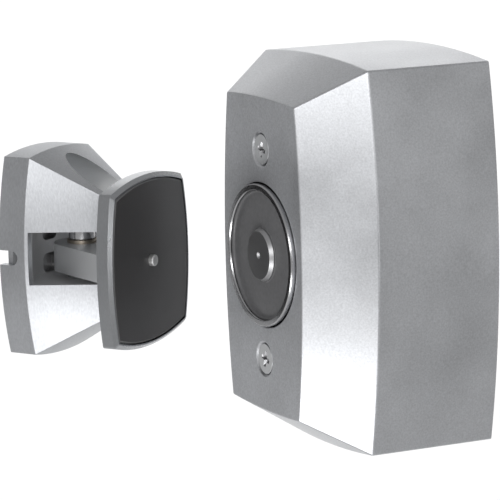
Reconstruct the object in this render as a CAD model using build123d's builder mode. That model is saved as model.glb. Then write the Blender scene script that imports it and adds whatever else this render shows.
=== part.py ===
"""Electromagnetic door holder, as a set of two units.

The magnet unit is fixed to the wall and faces -Y. The armature unit is fixed to the door leaf and stands
beside it, turned as it is when the door is part open. All sizes are in millimetres and +Z is up. The
origin is the centre of the magnet unit's back, on the wall.
"""

from build123d import *
from math import cos, pi, radians, sin, tan
import os

os.makedirs("parts", exist_ok=True)

# Fits shared by both units
running_clearance = 0.05
slip_clearance = 0.15
face_gap = 0.1
seat_gap = 0.3
cut_margin = 1.0
tolerance = 0.01

# Magnet housing: bowed rectangle, straight sides, then four flat bevels to a smaller front face
housing_width = 86.0
housing_height = 150.0
housing_side_bow = 7.0
housing_end_bow = 2.6
housing_side_depth = 53.3
housing_depth = 78.0
housing_wall = 3.0
front_width = 57.4
front_height = 122.4
front_side_bow = 4.6
front_end_bow = 1.0
housing_edge_round = 0.5

# Wall plate and its fixings
wall_plate_thickness = 2.0
wall_hole_diameter = 5.0
wall_hole_spacing_x = 60.0
wall_hole_spacing_z = 116.0
inlet_diameter = 18.0
grommet_bore = 9.0
grommet_lip = 2.0
grommet_lip_thickness = 1.5

# Cover screws and the posts that take them
cover_screw_spacing = 83.3
cover_screw_diameter = 4.2
cover_screw_length = 20.0
cover_head_diameter = 12.2
cover_head_land = 0.6
cover_sink_diameter = 14.3
cover_sink_angle = 90.0
cover_boss_diameter = 17.0
cover_boss_length = 7.0
recess_span = 6.4
recess_slot = 1.6
recess_depth = 2.2
recess_turn = {"upper": -12.0, "lower": -15.0}
post_across_flats = 8.0
post_spigot_diameter = 5.0

# Electromagnet
magnet_diameter = 56.4
magnet_proud = 1.8
magnet_opening_gap = 0.5
magnet_opening_chamfer = 0.3
magnet_length = 34.0
cup_wall = 2.7
cup_back = 5.0
cup_rim_round = 0.4
core_diameter = 21.0
core_edge_round = 0.5
face_recess = 2.3
potting_thickness = 1.8
bobbin_wall = 1.2
winding_margin = 1.0
lead_hole_radius = 19.5
lead_hole_pitch = 6.0
centre_hole_diameter = 2.8
centre_hole_angle = 60.0
centre_pilot_diameter = 1.0
centre_hole_depth = 4.0

# Bracket that carries the magnet, and its bolt and screws
bracket_width = 30.0
bracket_thickness = 2.5
bracket_span = 34.0
bracket_foot = 15.0
bracket_bend = 1.0
magnet_bolt_diameter = 8.0
magnet_bolt_grip = 10.0
magnet_bolt_head_across = 13.0
magnet_bolt_head_height = 5.0
lock_washer_diameter = 14.0
lock_washer_thickness = 1.6
bracket_screw_diameter = 4.0
bracket_screw_head = 8.0
bracket_screw_head_height = 2.4

# Terminal block and leads
block_width = 22.0
block_height = 14.0
block_depth = 12.0
block_x = 12.0
block_inset = 17.0
terminal_pitch = 11.0
terminal_head_diameter = 5.0
terminal_head_height = 2.0
terminal_screw_diameter = 3.0
terminal_screw_gap = 0.1
terminal_well_depth = 6.0
block_screw_diameter = 3.0
block_screw_head = 5.0
block_screw_head_height = 2.0
block_screw_well = 3.0
lead_diameter = 2.0
lead_insertion = 4.0
lead_height = 4.0
lead_way_diameter = 2.6
lead_turn_depth = 30.0
lead_low_depth = 12.0
lead_side_z = 22.0
lead_join_z = 38.0
lead_spread = 3.2
lead_bend_share = 0.45
screwdriver_slot = 0.9
screwdriver_slot_depth = 0.9

# Where the armature unit stands beside the magnet unit
door_x = -66.4
door_y = -145.4
door_angle = 33.0

# Armature base: bowed rectangle band, then four facets to a small front
base_width = 42.0
base_height = 78.6
base_side_bow = 5.5
base_end_bow = 2.0
base_band = 11.8
base_depth = 38.0
base_front_width = 21.6
base_front_height = 49.6
base_front_side_bow = 1.6
base_front_end_bow = 0.8
base_wall = 3.6
base_edge_round = 0.4
back_recess = 1.6
back_web = 2.2
arm_slot_height = 21.0
arm_slot_start = 13.0
side_notch_width = 5.8
side_notch_depth = 8.4
web_pocket_start = -1.8
web_pocket_width = 10.0
web_pocket_bar = 5.4
web_pocket_corner = 2.6
web_pocket_floor = 0.8
web_pocket_wall = 1.6
door_screw_height = 30.3
door_screw_hole = 6.5
door_screw_seat = 5.0
door_screw_pad = 14.0
access_hole_diameter = 17.0
door_bolt_hole = 6.1
door_bolt_depth = 14.0

# Pivot
pivot_depth = 21.5
pivot_pin_diameter = 6.0
pivot_seat_height = 21.0
pivot_seat_diameter = 11.0
pivot_head_diameter = 9.0
pivot_head_height = 1.8
pivot_head_round = 0.6
pivot_seat_sweep = 4.0
pivot_pin_foot = 20.0
bush_diameter = 8.4
bush_length = 4.6
bush_flange_diameter = 12.0
bush_flange_thickness = 1.4
sleeve_diameter = 10.4
spacer_diameter = 12.0

# Contact plate: arm and carrier in one casting, steel plate let into its face
swivel_angle = 4.1
plate_drop = 2.0
arm_height = 11.0
arm_nose_radius = 11.3
arm_flare = 29.5
arm_root_round = 2.0
carrier_width = 59.2
carrier_height = 60.0
carrier_side_bow = 3.4
carrier_end_bow = 4.2
carrier_reach = 24.8
carrier_side = 4.8
carrier_bevel = 1.4
carrier_corner_round = 1.6
plate_recess_margin = 0.5
plate_recess_depth = 4.2
plate_groove = 0.5
plate_thickness = 3.6
plate_chamfer = 0.7
cushion_diameter = 34.0
plate_screw_pitch = 44.0
plate_screw_diameter = 3.0
plate_screw_head = 5.5
plate_screw_head_height = 1.8
plate_screw_bite = 2.4

# Release pin: stands out of the armature plate's middle and is pressed level when the plate is held
pin_diameter = 4.6
pin_proud = 2.0
pin_tip_round = 1.2
pin_collar_diameter = 7.0
pin_collar_thickness = 1.5
pin_pocket_diameter = 7.6
pin_pocket_depth = 12.0
spring_wire = 0.6
spring_coil_diameter = 5.6
spring_turns = 7


def bowed_rectangle(width, height, side_bow, end_bow):
    """A rectangle with sharp corners whose four edges are arcs that stand out by the two bows."""
    half_width = width / 2
    half_height = height / 2
    with BuildSketch() as outline:
        with BuildLine():
            ThreePointArc((half_width, -half_height), (half_width + side_bow, 0), (half_width, half_height))
            ThreePointArc((half_width, half_height), (0, half_height + end_bow), (-half_width, half_height))
            ThreePointArc((-half_width, half_height), (-half_width - side_bow, 0), (-half_width, -half_height))
            ThreePointArc((-half_width, -half_height), (0, -half_height - end_bow), (half_width, -half_height))
        make_face()
    return outline.sketch_local


def cross_recess():
    """The outline of a cross recess: two slots at right angles."""
    with BuildSketch() as cross:
        Rectangle(recess_span, recess_slot)
        Rectangle(recess_slot, recess_span)
    return cross.sketch_local


def slotted_screw(place, diameter, length, head_diameter, head_height):
    """A cheese-head screw: place is the plane under its head, and its shank runs down from there."""
    with BuildPart() as screw:
        with BuildSketch(place):
            Circle(diameter / 2)
        extrude(amount=-length)
        with BuildSketch(place):
            Circle(head_diameter / 2)
        extrude(amount=head_height)
        with BuildSketch(place.offset(head_height)):
            Rectangle(head_diameter + cut_margin, screwdriver_slot)
        extrude(amount=-screwdriver_slot_depth, mode=Mode.SUBTRACT)
    return screw.part


def at(plane, x, y):
    """The same plane with its origin moved to x, y on it."""
    return Plane(origin=plane.from_local_coords(Vector(x, y, 0)), x_dir=plane.x_dir, z_dir=plane.z_dir)


# Places worked out from the driving sizes
wall = Plane.XZ
cover_screw_places = [(0, cover_screw_spacing / 2), (0, -cover_screw_spacing / 2)]
wall_hole_places = GridLocations(wall_hole_spacing_x, wall_hole_spacing_z, 2, 2)
post_top = housing_depth - housing_wall - cover_boss_length
magnet_radius = magnet_diameter / 2
magnet_front = housing_depth + magnet_proud
magnet_back = magnet_front - magnet_length
coil_back = magnet_back + cup_back
core_radius = core_diameter / 2
inner_radius = magnet_radius - cup_wall
face_floor = magnet_front - face_recess
coil_front = face_floor - potting_thickness - face_gap
bolt_tip = magnet_back + magnet_bolt_grip + cup_back
cone_drop = (cover_sink_diameter - cover_head_diameter) / 2 / tan(radians(cover_sink_angle / 2))
lead_places = [(lead_hole_radius, lead_hole_pitch / 2), (lead_hole_radius, -lead_hole_pitch / 2)]
block_z = housing_height / 2 - block_inset
terminal_places = [(block_x - terminal_pitch / 2, block_z), (block_x + terminal_pitch / 2, block_z)]
bracket_screw_places = [(0, (bracket_span + bracket_foot) / 2), (0, -(bracket_span + bracket_foot) / 2)]

# Housing: one die-cast aluminium shell, open at the wall
with BuildPart() as housing:
    with BuildSketch(wall):
        add(bowed_rectangle(housing_width, housing_height, housing_side_bow, housing_end_bow))
    extrude(amount=housing_side_depth)
    with BuildSketch(wall.offset(housing_side_depth)):
        add(bowed_rectangle(housing_width, housing_height, housing_side_bow, housing_end_bow))
    with BuildSketch(wall.offset(housing_depth)):
        add(bowed_rectangle(front_width, front_height, front_side_bow, front_end_bow))
    loft(ruled=True)
    outer_edges = housing.edges().filter_by(lambda e: e.bounding_box().min.Y < -cut_margin)
    fillet(outer_edges, housing_edge_round)
    # The hollow follows the outside, one wall inside it
    inside_width = housing_width - 2 * housing_wall
    inside_height = housing_height - 2 * housing_wall
    with BuildSketch(wall):
        add(bowed_rectangle(inside_width, inside_height, housing_side_bow, housing_end_bow))
    extrude(amount=housing_side_depth, mode=Mode.SUBTRACT)
    with BuildSketch(wall.offset(housing_side_depth)):
        add(bowed_rectangle(inside_width, inside_height, housing_side_bow, housing_end_bow))
    with BuildSketch(wall.offset(housing_depth - housing_wall)):
        add(bowed_rectangle(front_width - housing_wall, front_height - housing_wall,
                            front_side_bow, front_end_bow))
    loft(ruled=True, mode=Mode.SUBTRACT)
    # Bosses behind the front wall seat the cover screws on their posts
    with BuildSketch(wall.offset(housing_depth - housing_wall)):
        with Locations(*cover_screw_places):
            Circle(cover_boss_diameter / 2)
    extrude(amount=-cover_boss_length)
    with Locations(wall.offset(housing_depth)):
        with Locations(*cover_screw_places):
            CounterSinkHole(cover_screw_diameter / 2 + slip_clearance, cover_sink_diameter / 2,
                            counter_sink_angle=cover_sink_angle)
    # Round opening for the magnet, with a small chamfer at its mouth
    with BuildSketch(wall.offset(housing_depth)):
        Circle(magnet_radius + magnet_opening_gap)
    extrude(amount=-(housing_depth - housing_side_depth), mode=Mode.SUBTRACT)
    mouth = housing.edges().filter_by(GeomType.CIRCLE).filter_by(
        lambda e: abs(e.radius - magnet_radius - magnet_opening_gap) < tolerance
        and abs(e.center().Y + housing_depth) < tolerance)
    chamfer(mouth, magnet_opening_chamfer)
housing.part.label = "housing"
export_step(housing.part, "parts/housing.step")

# Wall plate: pressed steel, inside the housing's open back, with four wall holes and the cable inlet
with BuildPart() as wall_plate:
    with BuildSketch(wall):
        add(bowed_rectangle(inside_width - 2 * seat_gap, inside_height - 2 * seat_gap,
                            housing_side_bow, housing_end_bow))
        with wall_hole_places:
            Circle(wall_hole_diameter / 2, mode=Mode.SUBTRACT)
        Circle(inlet_diameter / 2, mode=Mode.SUBTRACT)
        with Locations(*cover_screw_places):
            Circle(post_spigot_diameter / 2 + running_clearance, mode=Mode.SUBTRACT)
        with Locations(*bracket_screw_places):
            Circle(bracket_screw_diameter / 2 + running_clearance, mode=Mode.SUBTRACT)
        with Locations((block_x, block_z)):
            Circle(block_screw_diameter / 2 + running_clearance, mode=Mode.SUBTRACT)
    extrude(amount=wall_plate_thickness)
wall_plate.part.label = "wall_plate"
export_step(wall_plate.part, "parts/wall_plate.step")

# Grommet: rubber bush that lines the cable inlet
with BuildPart() as cable_grommet:
    with BuildSketch(wall):
        Circle(inlet_diameter / 2 - running_clearance)
        Circle(grommet_bore / 2, mode=Mode.SUBTRACT)
    extrude(amount=wall_plate_thickness)
    with BuildSketch(wall.offset(wall_plate_thickness)):
        Circle(inlet_diameter / 2 + grommet_lip)
        Circle(grommet_bore / 2, mode=Mode.SUBTRACT)
    extrude(amount=grommet_lip_thickness)
cable_grommet.part.label = "cable_grommet"
export_step(cable_grommet.part, "parts/cable_grommet.step")

# Posts: hexagon steel bar, riveted into the wall plate and tapped for the cover screws
# Cover screws: flat heads with a cross recess, sunk below the housing's face
for end, (x, z) in zip(("upper", "lower"), cover_screw_places):
    foot = at(wall.offset(wall_plate_thickness), x, z)
    with BuildPart() as post:
        with BuildSketch(foot):
            RegularPolygon(post_across_flats / 2, 6, major_radius=False)
        extrude(amount=post_top - wall_plate_thickness)
        with BuildSketch(foot):
            Circle(post_spigot_diameter / 2)
        extrude(amount=-wall_plate_thickness)
        with BuildSketch(at(wall.offset(post_top), x, z)):
            Circle(cover_screw_diameter / 2 + running_clearance)
        extrude(amount=-cover_screw_length, mode=Mode.SUBTRACT)
    post.part.label = f"post_{end}"
    export_step(post.part, f"parts/post_{end}.step")

    cone_top = at(wall.offset(housing_depth - cone_drop), x, z)
    head_top = cone_top.offset(cover_head_land)
    head_radius = cover_head_diameter / 2 - running_clearance
    with BuildPart() as cover_screw:
        with BuildSketch(cone_top):
            Circle(cover_screw_diameter / 2)
        extrude(amount=-cover_screw_length)
        with BuildSketch(cone_top):
            Circle(head_radius)
        extrude(amount=-(head_radius - cover_screw_diameter / 2) / tan(radians(cover_sink_angle / 2)),
                taper=cover_sink_angle / 2)
        with BuildSketch(cone_top):
            Circle(head_radius)
        extrude(amount=cover_head_land)
        with BuildSketch(head_top):
            add(cross_recess().rotate(Axis.Z, recess_turn[end]))
        extrude(amount=-recess_depth, mode=Mode.SUBTRACT)
    cover_screw.part.label = f"cover_screw_{end}"
    export_step(cover_screw.part, f"parts/cover_screw_{end}.step")

# Bracket: a strip of steel bent to a hat shape, feet on the wall plate and crown behind the magnet
half_span = bracket_span / 2
foot_end = half_span + bracket_foot
leg_inside = half_span - bracket_thickness
foot_top = wall_plate_thickness + bracket_thickness
crown_back = magnet_back - bracket_thickness
with BuildPart() as magnet_bracket:
    with BuildSketch(Plane.YZ) as hat:
        with BuildLine():
            Polyline((-wall_plate_thickness, -foot_end), (-wall_plate_thickness, -leg_inside),
                     (-crown_back, -leg_inside), (-crown_back, leg_inside),
                     (-wall_plate_thickness, leg_inside), (-wall_plate_thickness, foot_end),
                     (-foot_top, foot_end), (-foot_top, half_span), (-magnet_back, half_span),
                     (-magnet_back, -half_span), (-foot_top, -half_span), (-foot_top, -foot_end), close=True)
        make_face()
        bends = hat.vertices().filter_by(lambda v: abs(v.Z) < foot_end - bracket_bend)
        inner_bends = bends.filter_by(
            lambda v: min(abs(v.Y + foot_top), abs(v.Y + crown_back)) < tolerance)
        fillet(inner_bends, bracket_bend)
        bends = hat.vertices().filter_by(lambda v: abs(v.Z) < foot_end - bracket_bend)
        outer_bends = bends.filter_by(
            lambda v: min(abs(v.Y + wall_plate_thickness), abs(v.Y + magnet_back)) < tolerance)
        fillet(outer_bends, bracket_bend + bracket_thickness)
    extrude(amount=bracket_width / 2, both=True)
    with BuildSketch(wall.offset(crown_back)):
        Circle(magnet_bolt_diameter / 2 + slip_clearance)
    extrude(amount=bracket_thickness, mode=Mode.SUBTRACT)
    with BuildSketch(wall.offset(wall_plate_thickness)):
        with Locations(*bracket_screw_places):
            Circle(bracket_screw_diameter / 2 + slip_clearance)
    extrude(amount=bracket_thickness, mode=Mode.SUBTRACT)
magnet_bracket.part.label = "magnet_bracket"
export_step(magnet_bracket.part, "parts/magnet_bracket.step")

# Bracket screws: one through each foot into the wall plate
for end, (x, z) in zip(("upper", "lower"), bracket_screw_places):
    bracket_screw = slotted_screw(at(wall.offset(foot_top), x, z), bracket_screw_diameter, foot_top,
                                  bracket_screw_head, bracket_screw_head_height)
    bracket_screw.label = f"bracket_screw_{end}"
    export_step(bracket_screw, f"parts/bracket_screw_{end}.step")

# Magnet cup: turned steel pot, the outer pole of the electromagnet
with BuildPart() as magnet_cup:
    with BuildSketch(wall.offset(magnet_back)):
        Circle(magnet_radius)
    extrude(amount=magnet_length)
    with BuildSketch(wall.offset(coil_back)):
        Circle(inner_radius)
    extrude(amount=magnet_length - cup_back, mode=Mode.SUBTRACT)
    rim_edges = magnet_cup.edges().filter_by(GeomType.CIRCLE).group_by(Axis.Y)[0]
    fillet(rim_edges, cup_rim_round)
    with BuildSketch(wall.offset(magnet_back)):
        Circle(magnet_bolt_diameter / 2 + slip_clearance)
        with Locations(*lead_places):
            Circle(lead_way_diameter / 2)
    extrude(amount=cup_back, mode=Mode.SUBTRACT)
magnet_cup.part.label = "magnet_cup"
export_step(magnet_cup.part, "parts/magnet_cup.step")

# Magnet core: the centre pole, tapped for the bolt behind, with a lathe centre in its face
with BuildPart() as magnet_core:
    with BuildSketch(wall.offset(coil_back)):
        Circle(core_radius)
    extrude(amount=magnet_front - coil_back)
    fillet(magnet_core.edges().filter_by(GeomType.CIRCLE).group_by(Axis.Y)[0], core_edge_round)
    with BuildSketch(wall.offset(coil_back)):
        Circle(magnet_bolt_diameter / 2 + running_clearance)
    extrude(amount=bolt_tip + cut_margin - coil_back, mode=Mode.SUBTRACT)
    with Locations(wall.offset(magnet_front)):
        CounterSinkHole(centre_pilot_diameter / 2, centre_hole_diameter / 2, depth=centre_hole_depth,
                        counter_sink_angle=centre_hole_angle)
magnet_core.part.label = "magnet_core"
export_step(magnet_core.part, "parts/magnet_core.step")

# Coil bobbin: moulded spool that slides over the core
spool_bore = core_radius + slip_clearance
spool_tube = spool_bore + bobbin_wall
spool_rim = inner_radius - slip_clearance
with BuildPart() as coil_bobbin:
    for flange in (coil_back, coil_front - bobbin_wall):
        with BuildSketch(wall.offset(flange)):
            Circle(spool_rim)
        extrude(amount=bobbin_wall)
    with BuildSketch(wall.offset(coil_back)):
        Circle(spool_tube)
    extrude(amount=coil_front - coil_back)
    with BuildSketch(wall.offset(coil_back)):
        Circle(spool_bore)
    extrude(amount=coil_front - coil_back, mode=Mode.SUBTRACT)
    with BuildSketch(wall.offset(coil_back)):
        with Locations(*lead_places):
            Circle(lead_way_diameter / 2)
    extrude(amount=bobbin_wall, mode=Mode.SUBTRACT)
coil_bobbin.part.label = "coil_bobbin"
export_step(coil_bobbin.part, "parts/coil_bobbin.step")

# Coil winding: enamelled copper wire wound on the bobbin, as one ring
with BuildPart() as coil_winding:
    with BuildSketch(wall.offset(coil_back + bobbin_wall)):
        Circle(inner_radius - winding_margin)
        Circle(spool_tube + running_clearance, mode=Mode.SUBTRACT)
    extrude(amount=coil_front - coil_back - 2 * bobbin_wall)
coil_winding.part.label = "coil_winding"
export_step(coil_winding.part, "parts/coil_winding.step")

# Potting ring: resin that seals the coil, a little below the two poles
with BuildPart() as potting_ring:
    with BuildSketch(wall.offset(face_floor - potting_thickness)):
        Circle(inner_radius - running_clearance)
        Circle(core_radius + running_clearance, mode=Mode.SUBTRACT)
    extrude(amount=potting_thickness)
potting_ring.part.label = "potting_ring"
export_step(potting_ring.part, "parts/potting_ring.step")

# Lock washer and bolt that clamp cup and core to the bracket
washer_back = crown_back - lock_washer_thickness
with BuildPart() as lock_washer:
    with BuildSketch(wall.offset(washer_back)):
        Circle(lock_washer_diameter / 2)
        Circle(magnet_bolt_diameter / 2 + slip_clearance, mode=Mode.SUBTRACT)
    extrude(amount=lock_washer_thickness)
lock_washer.part.label = "lock_washer"
export_step(lock_washer.part, "parts/lock_washer.step")

with BuildPart() as magnet_bolt:
    with BuildSketch(wall.offset(washer_back)):
        RegularPolygon(magnet_bolt_head_across / 2, 6, major_radius=False)
    extrude(amount=-magnet_bolt_head_height)
    with BuildSketch(wall.offset(washer_back)):
        Circle(magnet_bolt_diameter / 2)
    extrude(amount=bolt_tip - washer_back)
magnet_bolt.part.label = "magnet_bolt"
export_step(magnet_bolt.part, "parts/magnet_bolt.step")

# Terminal block: moulded block where the leads meet the building's cable
block_back = wall_plate_thickness
block_front = block_back + block_depth
lead_level = block_back + lead_height
well_floor = block_front - terminal_well_depth
with BuildPart() as terminal_block:
    with BuildSketch(at(wall.offset(block_back), block_x, block_z)):
        Rectangle(block_width, block_height)
    extrude(amount=block_depth)
    with BuildSketch(wall.offset(block_front)):
        with Locations(*terminal_places):
            Circle(terminal_head_diameter / 2 + slip_clearance)
    extrude(amount=-terminal_well_depth, mode=Mode.SUBTRACT)
    with BuildSketch(wall.offset(well_floor)):
        with Locations(*terminal_places):
            Circle(terminal_screw_diameter / 2 + running_clearance)
    extrude(amount=lead_level - well_floor, mode=Mode.SUBTRACT)
    with BuildSketch(wall.offset(block_front)):
        with Locations((block_x, block_z)):
            Circle(block_screw_head / 2 + running_clearance)
    extrude(amount=-block_screw_well, mode=Mode.SUBTRACT)
    with BuildSketch(wall.offset(block_back)):
        with Locations((block_x, block_z)):
            Circle(block_screw_diameter / 2 + running_clearance)
    extrude(amount=block_depth, mode=Mode.SUBTRACT)
    # One straight way across the block for each pole: lead below, cable core above
    with BuildSketch(Plane.XY.offset(block_z - block_height / 2)):
        with Locations(*[(x, -lead_level) for x, z in terminal_places]):
            Circle(lead_way_diameter / 2)
    extrude(amount=block_height, mode=Mode.SUBTRACT)
terminal_block.part.label = "terminal_block"
export_step(terminal_block.part, "parts/terminal_block.step")

# Terminal screws clamp the leads, and one screw holds the block to the wall plate
for pole, (x, z) in zip(("left", "right"), terminal_places):
    lead_crown = lead_level + lead_diameter / 2 + terminal_screw_gap
    terminal_screw = slotted_screw(at(wall.offset(well_floor), x, z), terminal_screw_diameter,
                                   well_floor - lead_crown, terminal_head_diameter, terminal_head_height)
    terminal_screw.label = f"terminal_screw_{pole}"
    export_step(terminal_screw, f"parts/terminal_screw_{pole}.step")
block_screw_seat = block_front - block_screw_well
block_screw = slotted_screw(at(wall.offset(block_screw_seat), block_x, block_z), block_screw_diameter,
                            block_screw_seat, block_screw_head, block_screw_head_height)
block_screw.label = "block_screw"
export_step(block_screw, "parts/block_screw.step")

# Leads: two insulated wires from the coil to the terminal block, round the bracket's edge
block_foot = block_z - block_height / 2
side_places = (lead_hole_radius, lead_hole_radius + lead_spread)
for pole, (x, z), (lead_x, lead_z), side_x in zip(("left", "right"), terminal_places, lead_places, side_places):
    route = [Vector(lead_x, -(coil_back + bobbin_wall), lead_z),
             Vector(lead_x, -lead_turn_depth, lead_z),
             Vector(side_x, -lead_low_depth, lead_side_z),
             Vector(x, -lead_level, lead_join_z),
             Vector(x, -lead_level, block_foot + lead_insertion)]
    runs = [b - a for a, b in zip(route, route[1:])]
    bends = [lead_bend_share * min(a.length, b.length) / tan(radians(a.get_angle(b) / 2))
             for a, b in zip(runs, runs[1:])]
    print(f"lead_{pole}: bend radii {[round(r, 1) for r in bends]}")
    with BuildPart() as lead:
        with BuildLine() as line:
            FilletPolyline(*route, radius=bends)
        with BuildSketch(Plane(origin=line.line @ 0, z_dir=line.line % 0)):
            Circle(lead_diameter / 2)
        sweep()
    lead_length = sum(edge.length for edge in line.edges())
    print(f"lead_{pole}: length {lead_length:.1f}, volume {lead.part.volume:.1f}, "
          f"section times length {lead_length * pi * lead_diameter ** 2 / 4:.1f}")
    lead.part.label = f"lead_{pole}"
    export_step(lead.part, f"parts/lead_{pole}.step")

# The armature unit: door is the plane of the door leaf, its z out of the leaf and its y up
forward = Vector(cos(radians(door_angle)), sin(radians(door_angle)), 0)
across = Vector(-sin(radians(door_angle)), cos(radians(door_angle)), 0)
door = Plane(origin=(door_x, door_y, 0), x_dir=across, z_dir=forward)
pivot = Plane(origin=door.from_local_coords(Vector(0, 0, pivot_depth)), x_dir=across, z_dir=(0, 0, 1))
side = Plane(origin=door.origin, x_dir=forward, z_dir=-across)
slot_half = arm_slot_height / 2
inner_half = base_width / 2 + base_side_bow - base_wall
web_front = back_recess + back_web
pocket_height = slot_half - web_pocket_bar / 2
pocket_places = [(web_pocket_start + web_pocket_width / 2, way * (web_pocket_bar + pocket_height) / 2)
                 for way in (1, -1)]

# Armature base: one aluminium die casting, two horns that carry the pivot pin
with BuildPart() as armature_base:
    with BuildSketch(door):
        add(bowed_rectangle(base_width, base_height, base_side_bow, base_end_bow))
    extrude(amount=base_band)
    with BuildSketch(door.offset(base_band)):
        add(bowed_rectangle(base_width, base_height, base_side_bow, base_end_bow))
    with BuildSketch(door.offset(base_depth)):
        add(bowed_rectangle(base_front_width, base_front_height, base_front_side_bow, base_front_end_bow))
    loft(ruled=True)
    fillet(armature_base.edges().filter_by(lambda e: door.to_local_coords(e.center()).Z > cut_margin),
           base_edge_round)
    # Slot for the arm, right through between the horns, and the hollow behind it
    with BuildSketch(door.offset(arm_slot_start)):
        Rectangle(base_width + 2 * (base_side_bow + cut_margin), arm_slot_height)
    extrude(amount=base_depth, mode=Mode.SUBTRACT)
    with BuildSketch(door.offset(web_front)):
        add(bowed_rectangle(base_width - 2 * base_wall, base_height, base_side_bow, base_end_bow))
        Rectangle(base_width + 2 * base_side_bow, arm_slot_height, mode=Mode.INTERSECT)
    extrude(amount=arm_slot_start - web_front, mode=Mode.SUBTRACT)
    # Upper door screw: access hole in the end facet, clearance hole at its floor
    with BuildSketch(door.offset(door_screw_seat)):
        with Locations((0, door_screw_height)):
            Circle(access_hole_diameter / 2)
    extrude(amount=base_depth, mode=Mode.SUBTRACT)
    # Shallow hollow in the back, with pads round the fixings and behind the pockets
    with BuildSketch(door):
        add(bowed_rectangle(base_width - 2 * base_wall, base_height - 2 * base_wall,
                            base_side_bow, base_end_bow))
        with Locations((0, door_screw_height), (0, -door_screw_height)):
            Circle(door_screw_pad / 2, mode=Mode.SUBTRACT)
        with Locations(*pocket_places):
            Rectangle(web_pocket_width + 2 * web_pocket_wall, pocket_height + 2 * web_pocket_wall,
                      mode=Mode.SUBTRACT)
    extrude(amount=back_recess, mode=Mode.SUBTRACT)
    with BuildSketch(door):
        with Locations((0, door_screw_height)):
            Circle(door_screw_hole / 2)
    extrude(amount=door_screw_seat, mode=Mode.SUBTRACT)
    # Lower door bolt: a tapped blind hole in the back, for a bolt through the door leaf
    with BuildSketch(door):
        with Locations((0, -door_screw_height)):
            Circle(door_bolt_hole / 2)
    extrude(amount=door_bolt_depth, mode=Mode.SUBTRACT)
    # Two blind pockets in the web behind the arm
    with BuildSketch(door.offset(web_pocket_floor)):
        with Locations(*pocket_places):
            RectangleRounded(web_pocket_width, pocket_height, web_pocket_corner)
    extrude(amount=web_front - web_pocket_floor, mode=Mode.SUBTRACT)
    # A round-ended notch in each side, open to the door leaf
    notch_centre = side_notch_depth - side_notch_width / 2
    for way in (1, -1):
        with BuildSketch(side.offset(way * (inner_half - face_gap))):
            with Locations((notch_centre, 0)):
                Circle(side_notch_width / 2)
            with Locations((notch_centre / 2 - cut_margin, 0)):
                Rectangle(notch_centre + 2 * cut_margin, side_notch_width)
        extrude(amount=way * (base_wall + face_gap + cut_margin), mode=Mode.SUBTRACT)
    # Pin hole through the upper horn and into the lower one, with a flat seat for the pin's head
    with BuildSketch(pivot.offset(-pivot_pin_foot - face_gap)):
        Circle(pivot_pin_diameter / 2 + running_clearance)
    extrude(amount=pivot_pin_foot + face_gap + pivot_seat_height, mode=Mode.SUBTRACT)
    with BuildSketch(pivot.offset(pivot_seat_height)):
        Circle(pivot_seat_diameter / 2)
    extrude(amount=pivot_seat_sweep, mode=Mode.SUBTRACT)
armature_base.part.label = "armature_base"
export_step(armature_base.part, "parts/armature_base.step")

# Pivot pin: headed steel pin, let in from the upper access hole and screwed into the lower horn
with BuildPart() as pivot_pin:
    with BuildSketch(pivot.offset(-pivot_pin_foot)):
        Circle(pivot_pin_diameter / 2)
    extrude(amount=pivot_pin_foot + pivot_seat_height)
    with BuildSketch(pivot.offset(pivot_seat_height)):
        Circle(pivot_head_diameter / 2)
    extrude(amount=pivot_head_height)
    fillet(pivot_pin.edges().filter_by(GeomType.CIRCLE).group_by(Axis.Z)[-1], pivot_head_round)
    with BuildSketch(pivot.offset(pivot_seat_height + pivot_head_height)):
        Rectangle(pivot_head_diameter + cut_margin, screwdriver_slot)
    extrude(amount=-screwdriver_slot_depth, mode=Mode.SUBTRACT)
pivot_pin.part.label = "pivot_pin"
export_step(pivot_pin.part, "parts/pivot_pin.step")

# Bushes: flanged bronze bushes in the arm, and the loose sleeves that fill the slot above and below it
arm_top = arm_height / 2 - plate_drop
arm_foot = -arm_height / 2 - plate_drop
for name, arm_face, way, filler, filler_diameter in (
        ("upper", arm_top, 1, "upper_sleeve", sleeve_diameter),
        ("lower", arm_foot, -1, "lower_spacer", spacer_diameter)):
    with BuildPart() as bush:
        with BuildSketch(pivot.offset(arm_face)):
            Circle(bush_diameter / 2)
        extrude(amount=-way * bush_length)
        with BuildSketch(pivot.offset(arm_face)):
            Circle(bush_flange_diameter / 2)
        extrude(amount=way * bush_flange_thickness)
        with BuildSketch(pivot.offset(arm_face - way * bush_length)):
            Circle(pivot_pin_diameter / 2 + running_clearance)
        extrude(amount=way * (bush_length + bush_flange_thickness), mode=Mode.SUBTRACT)
    bush.part.label = f"{name}_bush"
    export_step(bush.part, f"parts/{name}_bush.step")

    filler_start = arm_face + way * (bush_flange_thickness + face_gap)
    with BuildPart() as spacer:
        with BuildSketch(pivot.offset(filler_start)):
            Circle(filler_diameter / 2)
            Circle(pivot_pin_diameter / 2 + running_clearance, mode=Mode.SUBTRACT)
        extrude(amount=way * slot_half - filler_start)
    spacer.part.label = filler
    export_step(spacer.part, f"parts/{filler}.step")

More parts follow.
